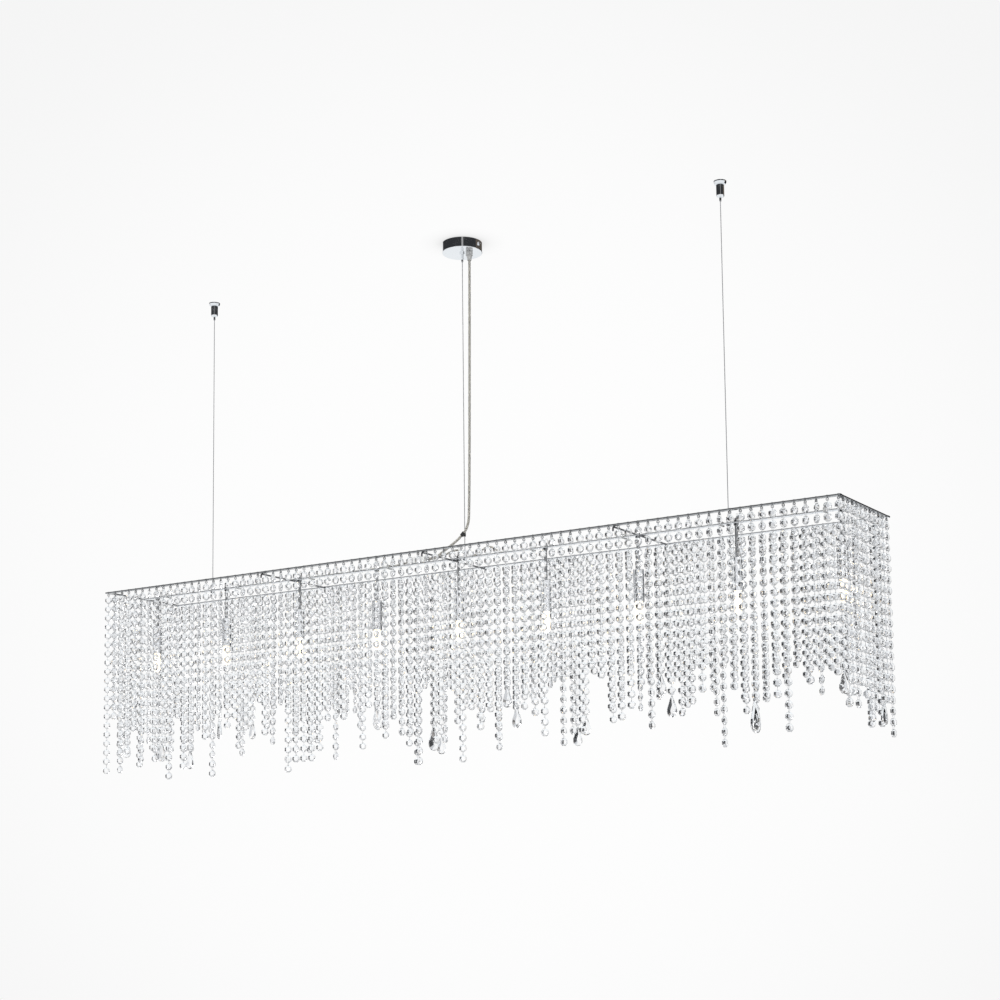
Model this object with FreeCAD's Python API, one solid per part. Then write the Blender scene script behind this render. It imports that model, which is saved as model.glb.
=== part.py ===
import FreeCAD, Part
import math
import os

# Crystal chandelier, a long chrome frame hung by three wires, in millimetres.
# The origin is on the ceiling, at the centre of the canopy. +Z is up and +X runs along the frame.

# Heights, measured down from the ceiling
wire_exit_drop = 38.0           # where the three wires and the cable leave their ceiling fittings
frame_drop = 640.0              # underside of the frame's bars
stem_visible_length = 63.0      # lamp stem between its bar and the sleeve

# Frame of flat bars
hook_pitch = 20.0
long_hook_gaps = 84             # hook spacings along a long bar
end_hook_gaps = 11              # hook spacings across an end
bar_width = 10.0
bar_thickness = 3.0
bar_overhang = 5.0              # a long bar runs this far past its corner hook
frame_offset = -15.0            # the middle lamp keeps the centre wire off the frame's middle

# Cross rods under the bars
rod_radius = 1.75
rod_hook_gaps = 20.5            # from the middle rod to an outer one, in hook spacings
middle_rod_shift = -0.5         # in hook spacings, so that no rod meets a hook
rod_end_reach = 2.0             # rod's bent end, outside the hook line
rod_bend_radius = 4.0
rod_leg_length = 4.0

# Hook pins and rings
pin_shank_radius = 0.8
pin_hole_clearance = 0.15
pin_head_radius = 1.9
pin_head_height = 1.0
eye_outer_radius = 2.8
eye_inner_radius = 1.6
eye_thickness = 1.2
eye_rise = 0.4                  # the eye's top reaches this far into the shank above
ring_radius = 3.2
ring_wire_radius = 0.5

# Octagon crystals
bead_width = 14.0
bead_thickness = 6.0
bead_pitch = 19.4
bead_hole_radius = 1.0
bead_hole_inset = 1.8
lug_thickness = 2.0             # crystals and drops are thinned to this around a ring's hole
lug_reach = 1.5                 # from the hole's centre to the full thickness
link_width = 2.0
strand_turn = 25.0              # degrees, the middle of the strands' random turns
strand_turn_spread = 115.0

# Drop crystals at the ends of some strands
drop_length = 38.0
drop_width = 18.0
drop_thickness = 9.0
drop_neck_width = 5.0
drop_hole_inset = 3.0
large_drop_scale = 1.45

# Beads in a strand: a random count in each row, but for the strands that shape the lower outline.
# These and the drops go by hook number along the row. For a drop, the beads above it are counted.
plain_beads = {"front": (13, 20), "back": (12, 19), "left": (13, 19), "right": (14, 19)}
front_beads = {1: 14, 5: 19, 7: 19, 9: 21, 11: 20, 15: 21, 19: 19, 20: 16, 21: 13, 25: 21, 29: 19, 31: 20,
               33: 13, 34: 17, 41: 21, 43: 19, 45: 14, 46: 21, 48: 18, 54: 17, 58: 19, 62: 17, 66: 19, 70: 17,
               73: 21, 75: 17, 77: 17, 79: 20, 83: 15}
front_drops = {8: 17, 12: 18, 16: 15, 36: 15, 51: 14, 52: 16, 67: 14, 68: 16, 76: 17}
back_beads = {1: 18, 2: 17, 3: 14, 10: 15, 33: 20, 34: 12, 37: 12, 51: 12, 54: 12, 61: 15, 76: 14, 82: 19,
              83: 19}
back_drops = {11: 14, 35: 16, 36: 17, 52: 17, 53: 16}
left_beads = {0: 20, 10: 17, 11: 13}
left_drops = {3: 16, 8: 16}
right_beads = {5: 17, 11: 20}
right_drops = {0: 15, 9: 17}
large_drop_hook = 76

# Suspension
wire_radius = 0.75
left_wire_distance = 640.0      # outer wires, from the frame's middle
right_wire_distance = 585.0
wire_bore_radius = 1.45
anchor_radius = 4.0
anchor_tip_radius = 1.7
anchor_height = 16.0
anchor_stud_radius = 2.5
anchor_stud_length = 4.5        # below the bar
anchor_grip_length = 10.0       # wire held inside the anchor
anchor_nut_flats = 8.0
nut_thickness = 3.2
fit_clearance = 0.1
running_clearance = 0.05

# Side ceiling grippers
gripper_base_radius = 12.0
gripper_base_height = 6.0
gripper_base_edge = 2.0
gripper_base_plate = 2.5
gripper_base_waist = 10.0
ceiling_screw_hole_radius = 2.25
gripper_spigot_radius = 6.5
gripper_spigot_length = 1.8
gripper_barrel_radius = 7.5
gripper_barrel_length = 24.0
gripper_barrel_round = 3.0

# Release nipples and their springs
nipple_radius = 2.0
nipple_length = 16.0
nipple_travel = 3.0
spring_radius = 1.7
spring_wall = 0.4
spring_length = 7.0

# Canopy
canopy_radius = 40.0
canopy_height = 20.0
canopy_wall = 1.2
canopy_edge_round = 1.0
strap_width = 16.0
strap_thickness = 1.5
strap_hole_spacing = 60.0
tab_width = 12.0
tab_height = 13.0
tab_gap = 1.0
cup_screw_radius = 1.9
cup_screw_drop = 8.0
cup_screw_head_radius = 3.5
cup_screw_head_height = 2.2
cup_screw_length = 8.0
grip_neck_radius = 3.0
grip_neck_length = 12.0         # below the canopy
grip_body_radius = 6.0
grip_body_height = 14.0
grip_nut_radius = 5.5
grip_nut_height = 3.0

# Cable gland
gland_distance = 17.0           # from the centre of the canopy
gland_neck_radius = 4.5
gland_body_radius = 7.0
gland_body_height = 8.0
gland_tip_radius = 4.0
gland_sleeve_top_radius = 5.5
gland_mouth_radius = 3.2
gland_mouth_depth = 3.5
gland_nut_radius = 7.5
terminal_length = 17.0
terminal_width = 14.0
terminal_height = 8.0

# Power cable and lamp leads
cable_radius = 2.5
exit_play = 1.0                 # wires and cable start this far up inside their exits
tail_gap = 1.2                  # from there to the fixed lengths above
cable_route = [(17.0, 0.0, -37.0), (17.0, 0.0, -75.0), (14.0, -3.5, -545.0), (10.5, -4.6, -581.0),
               (-13.0, -4.6, -602.0), (-46.0, -3.0, -618.5), (-70.0, 0.0, -631.0), (-90.0, 0.0, -631.0)]
clipped_run = 3                 # the clip holds the middle of the route's run from this point
clip_height = 8.0
clip_wall = 1.5
splice_start = -90.0
splice_length = 40.0
splice_width = 18.0
splice_height = 12.0
lead_radius = 2.0
lead_distance = 8.0             # lamp leads, from the middle of their bar
lead_drop = 636.0
right_lead_route = [(-90.0, 5.5, -631.0), (-70.0, 5.5, -631.0), (-44.0, 8.0, -622.0), (-18.0, 8.0, -617.0),
                    (14.0, 8.0, -640.0), (50.0, 8.0, -615.0), (78.0, 8.0, -637.0), (102.0, 8.0, -636.0)]
left_lead_route = [(-130.0, 3.5, -632.0), (-148.0, 3.5, -632.0), (-168.0, 8.0, -636.0)]
branch_radius = 0.65
branch_rise = 5.0
branch_gap = 0.4                # above the lead that it leaves
tie_width = 3.0
tie_wall = 1.0
tie_gap = 0.2
tie_distance = 30.0             # from the lamp beside it

# Lamps
lamp_count = 9
lamp_pitch = 200.0
stem_radius = 3.0
stem_bore_radius = 1.9
stem_top_rise = 7.0             # above the bar
stem_nut_flats = 9.0
sleeve_radius = 10.0
sleeve_wall = 0.8
sleeve_cap = 1.2
sleeve_length = 60.0
holder_radius = 8.0
holder_height = 26.0
holder_inset = 6.0              # holder's face, above the sleeve's open end
stem_seat_depth = 5.0
bulb_radius = 7.0
bulb_length = 46.0
bulb_pinch_width = 12.0
bulb_pinch_thickness = 5.0
bulb_pinch_length = 14.0
bulb_pin_radius = 0.45
bulb_pin_length = 6.0
bulb_pin_spacing = 9.0

# Worked out from the sizes above
bar_bottom = -frame_drop
bar_top = bar_bottom + bar_thickness
half_length = hook_pitch * long_hook_gaps / 2
half_width = hook_pitch * end_hook_gaps / 2
pivot_height = bar_bottom - eye_outer_radius - eye_rise
wire_exit = -wire_exit_drop
first_bead_height = pivot_height - 2 * ring_radius - (bead_width / 2 - bead_hole_inset)
sleeve_top = bar_bottom - stem_visible_length
sleeve_bottom = sleeve_top - sleeve_length
holder_bottom = sleeve_bottom + holder_inset
holder_top = holder_bottom + holder_height
lamp_places = [frame_offset + lamp_pitch * (i - (lamp_count - 1) / 2) for i in range(lamp_count)]
up = FreeCAD.Vector(0, 0, 1)

os.makedirs("parts", exist_ok=True)


def vector(x, y, z):
    return FreeCAD.Vector(x, y, z)


def write(name, solids):
    """One STEP file for a node, from one solid or a list of separate solids."""
    shape = Part.makeCompound(solids) if isinstance(solids, list) else solids
    shape.exportStep("parts/" + name + ".step")


def rod(radius, start, end):
    """A round rod between two points."""
    along = end - start
    return Part.makeCylinder(radius, along.Length, start, along)


def upright(radius, x, y, low, high):
    return rod(radius, vector(x, y, low), vector(x, y, high))


def block(low, high):
    """A box between two corners."""
    size = high - low
    return Part.makeBox(size.x, size.y, size.z, low)


def turned(x, y, profile):
    """A solid of revolution about the upright line through x, y, from (radius, height) points."""
    points = [vector(x + radius, y, height) for radius, height in profile]
    face = Part.Face(Part.makePolygon(points + points[:1]))
    return face.revolve(vector(x, y, 0), up, 360)


def hexagon(flats, x, y, low, thickness):
    """A hexagon nut blank, upright."""
    corner = flats / math.sqrt(3)
    angles = [math.radians(60 * i) for i in range(6)]
    points = [vector(x + corner * math.cos(a), y + corner * math.sin(a), low) for a in angles]
    return Part.Face(Part.makePolygon(points + points[:1])).extrude(up * thickness)


def tube_path(name, places):
    """Straight runs joined by tangent arcs, each as large as its two runs allow. Prints the radii."""
    points = [vector(*place) for place in places]
    edges = []
    radii = []
    start = points[0]
    for before, corner, after in zip(points, points[1:], points[2:]):
        back = before - corner
        on = after - corner
        reach = 0.45 * min(back.Length, on.Length)
        half_turn = (math.pi - back.getAngle(on)) / 2
        radii.append(reach / math.tan(half_turn))
        back.normalize()
        on.normalize()
        enter = corner + back * reach
        leave = corner + on * reach
        middle_line = back + on
        middle_line.normalize()
        to_centre = radii[-1] / math.cos(half_turn)
        middle = corner + middle_line * (to_centre - radii[-1])
        edges.append(Part.LineSegment(start, enter).toShape())
        edges.append(Part.Arc(enter, middle, leave).toShape())
        start = leave
    edges.append(Part.LineSegment(start, points[-1]).toShape())
    path = Part.Wire(edges)
    print(name, "length", round(path.Length, 1), "bend radii", [round(r, 1) for r in radii])
    return path


def tube(name, places, radius):
    """A round cord along a path of runs and arcs."""
    path = tube_path(name, places)
    first = vector(*places[0])
    along = vector(*places[1]) - first
    section = Part.Wire(Part.makeCircle(radius, first, along))
    solid = path.makePipeShell([section], True, False)
    expected = math.pi * radius ** 2 * path.Length
    print(name, "volume over section times length", round(solid.Volume / expected, 4))
    return solid


# Frame: two long bars, two end bars between them and a centre bar that carries the lamps
def bar_with_holes(low, high, holes):
    """A flat bar with upright round holes, each (x, y, radius)."""
    bar = block(low, high)
    drills = [upright(radius, x, y, bar_bottom - 1, bar_top + 1) for x, y, radius in holes]
    return bar.cut(Part.makeCompound(drills)) if drills else bar


def hook_place(row, number):
    """Where a hook pin stands. Rows run along +X at the front and back, and along +Y at the ends."""
    if row in ("front", "back"):
        side = -half_width if row == "front" else half_width
        return frame_offset - half_length + hook_pitch * number, side
    side = -half_length if row == "left" else half_length
    return frame_offset + side, -half_width + hook_pitch * number


hook_numbers = {
    "front": range(1, long_hook_gaps),
    "back": range(1, long_hook_gaps),
    "left": range(0, end_hook_gaps + 1),
    "right": range(0, end_hook_gaps + 1),
}
pin_hole_radius = pin_shank_radius + pin_hole_clearance
for row, side in (("front", -half_width), ("back", half_width)):
    reach = half_length + bar_overhang
    low = vector(frame_offset - reach, side - bar_width / 2, bar_bottom)
    high = vector(frame_offset + reach, side + bar_width / 2, bar_top)
    holes = [hook_place(row, n) + (pin_hole_radius,) for n in range(0, long_hook_gaps + 1)]
    write("rail_" + row, bar_with_holes(low, high, holes))
for row, side in (("left", -half_length), ("right", half_length)):
    reach = half_width - bar_width / 2
    low = vector(frame_offset + side - bar_width / 2, -reach, bar_bottom)
    high = vector(frame_offset + side + bar_width / 2, reach, bar_top)
    holes = [hook_place(row, n) + (pin_hole_radius,) for n in range(1, end_hook_gaps)]
    write("rail_" + row, bar_with_holes(low, high, holes))

wire_places = {
    "left": frame_offset - left_wire_distance,
    "centre": 0.0,
    "right": frame_offset + right_wire_distance,
}
centre_holes = [(x, 0.0, stem_radius + fit_clearance) for x in lamp_places]
centre_holes += [(x, 0.0, anchor_stud_radius + fit_clearance) for x in wire_places.values()]
reach = half_length - bar_width / 2
write("rail_centre", bar_with_holes(vector(frame_offset - reach, -bar_width / 2, bar_bottom),
                                    vector(frame_offset + reach, bar_width / 2, bar_top), centre_holes))


# Cross rods: round, under the bars, each end bent down
def cross_rod(x):
    height = bar_bottom - rod_radius
    end = half_width + rod_end_reach
    bend = rod_bend_radius
    low = height - bend - rod_leg_length
    slant = bend * (1 - math.sqrt(0.5))
    edges = [
        Part.LineSegment(vector(x, -end, low), vector(x, -end, height - bend)).toShape(),
        Part.Arc(vector(x, -end, height - bend), vector(x, slant - end, height - slant),
                 vector(x, bend - end, height)).toShape(),
        Part.LineSegment(vector(x, bend - end, height), vector(x, end - bend, height)).toShape(),
        Part.Arc(vector(x, end - bend, height), vector(x, end - slant, height - slant),
                 vector(x, end, height - bend)).toShape(),
        Part.LineSegment(vector(x, end, height - bend), vector(x, end, low)).toShape(),
    ]
    section = Part.Wire(Part.makeCircle(rod_radius, vector(x, -end, low), up))
    return Part.Wire(edges).makePipeShell([section], True, False)


for name, gaps in (("left", -rod_hook_gaps), ("centre", middle_rod_shift), ("right", rod_hook_gaps)):
    write("cross_rod_" + name, cross_rod(frame_offset + gaps * hook_pitch))


# Crystal rows
def scatter(row, number, salt):
    """A fixed number from 0 to 1 that looks random from hook to hook."""
    seed = {"front": 4193, "back": 1601, "left": 2242, "right": 56}[row]
    value = math.sin(number * 12.9898 + seed * 78.233 + salt * 37.719) * 43758.5453
    return value - math.floor(value)


def facing(row, number):
    """The turn of a strand about its own line, in radians from facing the front."""
    return math.radians(strand_turn + (scatter(row, number, 1) - 0.5) * strand_turn_spread)


def plate(x, y, turn, thickness, outline, holes):
    """A flat upright plate centred on x, y and turned about it, from (across, height) outlines."""
    across = vector(math.cos(turn), math.sin(turn), 0)
    through = vector(-math.sin(turn), math.cos(turn), 0)
    start = vector(x, y, 0) - through * (thickness / 2)
    points = [start + across * u + up * v for u, v in outline]
    wires = [Part.makePolygon(points + points[:1])]
    for height, radius in holes:
        wires.append(Part.Wire(Part.makeCircle(radius, start + up * height, through)))
    return Part.Face(wires, "Part::FaceMakerBullseye").extrude(through * thickness)


def thinned(solid, x, y, turn, thickness, low, high):
    """A plate thinned on both faces between two heights, to the thickness of a lug."""
    for side in (-1, 1):
        depth = thickness / 2 + 1
        length = 4 * bead_width
        near = min(side * lug_thickness / 2, side * depth)
        far = near + depth - lug_thickness / 2
        cutter = block(vector(-length / 2, near, low), vector(length / 2, far, high))
        cutter.rotate(vector(0, 0, 0), up, math.degrees(turn))
        cutter.translate(vector(x, y, 0))
        solid = solid.cut(cutter)
    return solid


def strand(x, y, turn, beads, holds_drop):
    """Octagon crystals in one upright chain, joined by short links."""
    half = bead_width / 2
    corner = half * math.tan(math.radians(22.5))
    neck = link_width / 2
    side = []
    for i in range(beads):
        centre = first_bead_height - bead_pitch * i
        top_half = corner if i == 0 else neck
        bottom_half = corner if i == beads - 1 else neck
        side += [(top_half, centre + half), (half, centre + corner), (half, centre - corner),
                 (bottom_half, centre - half)]
    outline = side + [(-u, v) for u, v in reversed(side)]
    hole_reach = half - bead_hole_inset
    top_hole = first_bead_height + hole_reach
    bottom_hole = first_bead_height - bead_pitch * (beads - 1) - hole_reach
    holes = [top_hole, bottom_hole] if holds_drop else [top_hole]
    chain = plate(x, y, turn, bead_thickness, outline, [(height, bead_hole_radius) for height in holes])
    chain = thinned(chain, x, y, turn, bead_thickness, top_hole - lug_reach, top_hole + bead_width)
    if holds_drop:
        chain = thinned(chain, x, y, turn, bead_thickness, bottom_hole - bead_width, bottom_hole + lug_reach)
    return chain


def ring(x, y, turn, top):
    """A small wire ring that hangs across a crystal, with its wire's top at the given height."""
    through = vector(math.cos(turn), math.sin(turn), 0)
    return Part.makeTorus(ring_radius, ring_wire_radius, vector(x, y, top - ring_radius), through)


def drop(x, y, turn, hole_height, scale):
    """A pear-shaped drop: straight sides that widen to a round end."""
    across = vector(math.cos(turn), math.sin(turn), 0)
    through = vector(-math.sin(turn), math.cos(turn), 0)
    thickness = drop_thickness * scale
    top = hole_height + drop_hole_inset
    round_radius = drop_width * scale / 2
    centre_height = top - drop_length * scale + round_radius
    neck = drop_neck_width * scale / 2
    start = vector(x, y, 0) - through * (thickness / 2)

    def at(u, v):
        return start + across * u + up * v

    lean = math.atan2(round_radius - neck, top - centre_height)
    side = (round_radius * math.cos(lean), centre_height + round_radius * math.sin(lean))
    edges = [
        Part.LineSegment(at(-neck, top), at(neck, top)).toShape(),
        Part.LineSegment(at(neck, top), at(*side)).toShape(),
        Part.Arc(at(*side), at(0, centre_height - round_radius), at(-side[0], side[1])).toShape(),
        Part.LineSegment(at(-side[0], side[1]), at(-neck, top)).toShape(),
    ]
    hole = Part.Wire(Part.makeCircle(bead_hole_radius, at(0, hole_height), through))
    pear = Part.Face([Part.Wire(edges), hole], "Part::FaceMakerBullseye").extrude(through * thickness)
    return thinned(pear, x, y, turn, thickness, hole_height - lug_reach, top + 1)


def hook_pin(x, y, turn):
    """A headed pin through the bar, with a flat eye below it."""
    shank = turned(x, y, [(0, bar_top + pin_head_height), (pin_head_radius, bar_top + pin_head_height),
                          (pin_head_radius, bar_top), (pin_shank_radius, bar_top),
                          (pin_shank_radius, bar_bottom - 2 * eye_rise), (0, bar_bottom - 2 * eye_rise)])
    across = vector(-math.sin(turn), math.cos(turn), 0)
    face_centre = vector(x, y, pivot_height) - across * (eye_thickness / 2)
    eye = Part.makeCylinder(eye_outer_radius, eye_thickness, face_centre, across)
    eye = eye.cut(Part.makeCylinder(eye_inner_radius, eye_thickness, face_centre, across))
    return shank.fuse(eye).removeSplitter()


rows = {
    "front": (front_beads, front_drops),
    "back": (back_beads, back_drops),
    "left": (left_beads, left_drops),
    "right": (right_beads, right_drops),
}
drop_ring_reach = bead_width / 2 - bead_hole_inset
pins = []
for row, (counted, drops) in rows.items():
    strands = []
    rings = []
    row_drops = []
    for number in hook_numbers[row]:
        x, y = hook_place(row, number)
        turn = facing(row, number)
        fewest, most = plain_beads[row]
        plain = fewest + int(scatter(row, number, 2) * (most - fewest + 1))
        beads = drops.get(number, counted.get(number, plain))
        strands.append(strand(x, y, turn, beads, number in drops))
        rings.append(ring(x, y, turn, pivot_height))
        pins.append(hook_pin(x, y, turn))
        if number in drops:
            ring_top = first_bead_height - bead_pitch * (beads - 1) - drop_ring_reach
            rings.append(ring(x, y, turn, ring_top))
            scale = large_drop_scale if row == "front" and number == large_drop_hook else 1.0
            row_drops.append(drop(x, y, turn, ring_top - 2 * ring_radius, scale))
    write("strands_" + row, strands)
    write("strand_rings_" + row, rings)
    write("drops_" + row, row_drops)
write("hook_pins", pins)


# Lamps: a threaded stem in the centre bar carries a chrome sleeve, a ceramic holder and a capsule bulb
def nut(flats, hole_radius, x, low):
    blank = hexagon(flats, x, 0, low, nut_thickness)
    return blank.cut(upright(hole_radius, x, 0, low - 1, low + nut_thickness + 1))


stems = []
stem_nuts = []
sleeves = []
holders = []
bulbs = []
stem_top = bar_top + stem_top_rise
stem_bottom = holder_top - stem_seat_depth
for x in lamp_places:
    stem = upright(stem_radius, x, 0, stem_bottom, stem_top)
    stems.append(stem.cut(upright(stem_bore_radius, x, 0, stem_bottom - 1, stem_top + 1)))
    for low in (bar_top, bar_bottom - nut_thickness, sleeve_top - sleeve_cap - nut_thickness):
        stem_nuts.append(nut(stem_nut_flats, stem_radius + fit_clearance, x, low))
    inner = sleeve_radius - sleeve_wall
    hole = stem_radius + fit_clearance
    sleeves.append(turned(x, 0, [(hole, sleeve_top), (sleeve_radius, sleeve_top),
                                 (sleeve_radius, sleeve_bottom),
                                 (inner, sleeve_bottom), (inner, sleeve_top - sleeve_cap),
                                 (hole, sleeve_top - sleeve_cap)]))
    holder = upright(holder_radius, x, 0, holder_bottom, holder_top)
    seat = upright(hole, x, 0, holder_top - stem_seat_depth, holder_top + 1)
    pin_places = [x - bulb_pin_spacing / 2, x + bulb_pin_spacing / 2]
    pin_top = holder_bottom + bulb_pin_length
    socket_radius = bulb_pin_radius + fit_clearance
    sockets = [upright(socket_radius, p, 0, holder_bottom - 1, pin_top + 1) for p in pin_places]
    holders.append(holder.cut(Part.makeCompound([seat] + sockets)))
    pinch_low = holder_bottom - bulb_pinch_length
    pinch = block(vector(x - bulb_pinch_width / 2, -bulb_pinch_thickness / 2, pinch_low),
                  vector(x + bulb_pinch_width / 2, bulb_pinch_thickness / 2, holder_bottom))
    tip = holder_bottom - bulb_length
    capsule = turned(x, 0, [(0, tip), (bulb_radius * 0.55, tip + 1.5), (bulb_radius, tip + bulb_radius),
                            (bulb_radius, pinch_low), (bulb_radius * 0.6, pinch_low + 4), (0, pinch_low + 4)])
    legs = [upright(bulb_pin_radius, p, 0, holder_bottom - 1, pin_top) for p in pin_places]
    bulbs.append(pinch.fuse([capsule] + legs))
write("lamp_stems", stems)
write("stem_nuts", stem_nuts)
write("lamp_sleeves", sleeves)
write("lamp_holders", holders)
write("bulbs", bulbs)

# Suspension wires, each held in an anchor on the centre bar
anchors = []
anchor_nuts = []
anchor_top = bar_top + anchor_height
for name, x in wire_places.items():
    write("wire_" + name, upright(wire_radius, x, 0, anchor_top - anchor_grip_length, wire_exit + exit_play))
    stud_end = bar_bottom - anchor_stud_length
    body = turned(x, 0, [(0, stud_end), (anchor_stud_radius, stud_end), (anchor_stud_radius, bar_top),
                         (anchor_radius, bar_top), (anchor_radius, bar_top + anchor_height / 2),
                         (anchor_tip_radius, anchor_top), (0, anchor_top)])
    bore = upright(wire_radius + running_clearance, x, 0, anchor_top - anchor_grip_length, anchor_top + 1)
    anchors.append(body.cut(bore))
    nut_low = bar_bottom - nut_thickness
    anchor_nuts.append(nut(anchor_nut_flats, anchor_stud_radius + fit_clearance, x, nut_low))
write("wire_anchors", anchors)
write("anchor_nuts", anchor_nuts)


# Release nipples: each slides up inside its gripper, against a spring
nipple_top = wire_exit + nipple_length
cavity_radius = nipple_radius + running_clearance
cavity_top = nipple_top + spring_length


def nipple(x):
    body = turned(x, 0, [(wire_bore_radius, wire_exit), (nipple_radius, wire_exit + 0.5),
                         (nipple_radius, nipple_top), (wire_bore_radius, nipple_top)])
    return body


def nipple_spring(x):
    """The coiled spring above the nipple, as the sleeve that it fills."""
    inner = spring_radius - spring_wall
    return turned(x, 0, [(inner, nipple_top), (spring_radius, nipple_top), (spring_radius, cavity_top),
                         (inner, cavity_top)])


for side in ("left", "right"):
    x = wire_places[side]
    base_low = -gripper_base_height
    recess = gripper_spigot_radius
    write("gripper_base_" + side, turned(x, 0, [
        (ceiling_screw_hole_radius, 0), (gripper_base_radius, 0), (gripper_base_radius, -gripper_base_edge),
        (gripper_base_waist, base_low), (recess, base_low), (recess, -gripper_base_plate),
        (ceiling_screw_hole_radius, -gripper_base_plate)]))
    barrel_low = base_low - gripper_barrel_length
    spigot = gripper_spigot_radius - running_clearance
    spigot_top = base_low + gripper_spigot_length
    barrel = turned(x, 0, [(0, spigot_top), (spigot, spigot_top), (spigot, base_low),
                           (gripper_barrel_radius, base_low), (gripper_barrel_radius, barrel_low),
                           (0, barrel_low)])
    rim = [e for e in barrel.Edges if abs(e.BoundBox.ZMin - barrel_low) < 0.01 and e.BoundBox.ZLength < 0.01
           and e.BoundBox.XLength > gripper_barrel_radius]
    barrel = barrel.makeFillet(gripper_barrel_round, rim)
    write("gripper_barrel_" + side, barrel.cut(upright(cavity_radius, x, 0, barrel_low - 1, cavity_top)))
    write("gripper_nipple_" + side, nipple(x))
    write("gripper_spring_" + side, nipple_spring(x))

# Canopy: a cup over a ceiling strap, held by two side screws in the strap's bent tabs
canopy_bottom = -canopy_height
canopy_floor = canopy_bottom + canopy_wall
cup_inside = canopy_radius - canopy_wall
cup = turned(0, 0, [(cup_inside, 0), (canopy_radius, 0), (canopy_radius, canopy_bottom), (0, canopy_bottom),
                    (0, canopy_floor), (cup_inside, canopy_floor)])
rim = [e for e in cup.Edges if abs(e.BoundBox.ZMin - canopy_bottom) < 0.01 and e.BoundBox.ZLength < 0.01
       and e.BoundBox.XLength > canopy_radius]
cup = cup.makeFillet(canopy_edge_round, rim)
grip_hole = upright(grip_neck_radius + fit_clearance, 0, 0, canopy_bottom - 1, canopy_floor + 1)
gland_clear = gland_neck_radius + fit_clearance
gland_hole = upright(gland_clear, gland_distance, 0, canopy_bottom - 1, canopy_floor + 1)
screw_line = rod(cup_screw_radius + 2 * fit_clearance, vector(-canopy_radius - 1, 0, -cup_screw_drop),
                 vector(canopy_radius + 1, 0, -cup_screw_drop))
write("canopy_cup", cup.cut(Part.makeCompound([grip_hole, gland_hole, screw_line])))

tab_outside = cup_inside - tab_gap
strap = block(vector(-tab_outside, -strap_width / 2, -strap_thickness),
              vector(tab_outside, strap_width / 2, 0))
for sign in (-1, 1):
    near = min(sign * tab_outside, sign * (tab_outside - strap_thickness))
    strap = strap.fuse(block(vector(near, -tab_width / 2, -tab_height),
                             vector(near + strap_thickness, tab_width / 2, -strap_thickness)))
strap_holes = [upright(ceiling_screw_hole_radius, sign * strap_hole_spacing / 2, 0, -strap_thickness - 1, 1)
               for sign in (-1, 1)]
tapped = rod(cup_screw_radius + running_clearance, vector(-canopy_radius, 0, -cup_screw_drop),
             vector(canopy_radius, 0, -cup_screw_drop))
write("canopy_bracket", strap.cut(Part.makeCompound(strap_holes + [tapped])).removeSplitter())

cup_screws = []
for sign in (-1, 1):
    seat = vector(sign * canopy_radius, 0, -cup_screw_drop)
    out = vector(sign, 0, 0)
    head = Part.makeCylinder(cup_screw_head_radius, cup_screw_head_height, seat, out)
    head = head.cut(block(seat + out * (cup_screw_head_height - 1) - vector(1, 4, 0.4),
                          seat + out * (cup_screw_head_height - 1) + vector(1, 4, 0.4)))
    shank = Part.makeCylinder(cup_screw_radius, cup_screw_length + 0.5, seat + out * 0.5, out * -1)
    cup_screws.append(head.fuse(shank))
write("canopy_screws", cup_screws)

grip_low = canopy_bottom - grip_neck_length
grip_top = canopy_floor + grip_body_height
grip_body = turned(0, 0, [(0, grip_top), (grip_body_radius, grip_top),
                          (grip_body_radius, canopy_floor), (grip_neck_radius, canopy_floor),
                          (grip_neck_radius, grip_low + 1), (grip_neck_radius - 0.6, grip_low), (0, grip_low)])
write("canopy_grip_body", grip_body.cut(upright(cavity_radius, 0, 0, grip_low - 1, cavity_top)))
locknut = upright(grip_nut_radius, 0, 0, canopy_bottom - grip_nut_height, canopy_bottom)
write("canopy_grip_locknut", locknut.cut(upright(grip_neck_radius + fit_clearance, 0, 0, grip_low, 0)))
write("canopy_grip_nipple", nipple(0))
write("canopy_grip_spring", nipple_spring(0))
wire_tail_bottom = wire_exit + exit_play + tail_gap
write("wire_tails", [upright(wire_radius, x, 0, wire_tail_bottom, cavity_top) for x in wire_places.values()])

# Cable gland with its soft sleeve, the cable's tail inside the canopy and the terminal block
gland_low = canopy_bottom - gland_body_height
bore = cable_radius + fit_clearance
gland_top = canopy_floor + nut_thickness + 1
write("cable_gland", turned(gland_distance, 0, [
    (bore, gland_top), (gland_neck_radius, gland_top), (gland_neck_radius, canopy_bottom),
    (gland_body_radius, canopy_bottom), (gland_body_radius, gland_low), (bore, gland_low)]))
write("gland_sleeve", turned(gland_distance, 0, [
    (bore, gland_low), (gland_sleeve_top_radius, gland_low), (gland_tip_radius, wire_exit),
    (gland_mouth_radius, wire_exit), (gland_mouth_radius, wire_exit + gland_mouth_depth),
    (bore, wire_exit + gland_mouth_depth)]))
locknut = upright(gland_nut_radius, gland_distance, 0, canopy_floor, canopy_floor + nut_thickness)
write("gland_locknut", locknut.cut(upright(gland_clear, gland_distance, 0, canopy_bottom, 0)))
terminal_low = -strap_thickness - terminal_height
write("terminal_block", block(
    vector(gland_distance - terminal_length / 2, -terminal_width / 2, terminal_low),
    vector(gland_distance + terminal_length / 2, terminal_width / 2, -strap_thickness)))
write("cable_tail", upright(cable_radius, gland_distance, 0, wire_tail_bottom, terminal_low))

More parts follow.
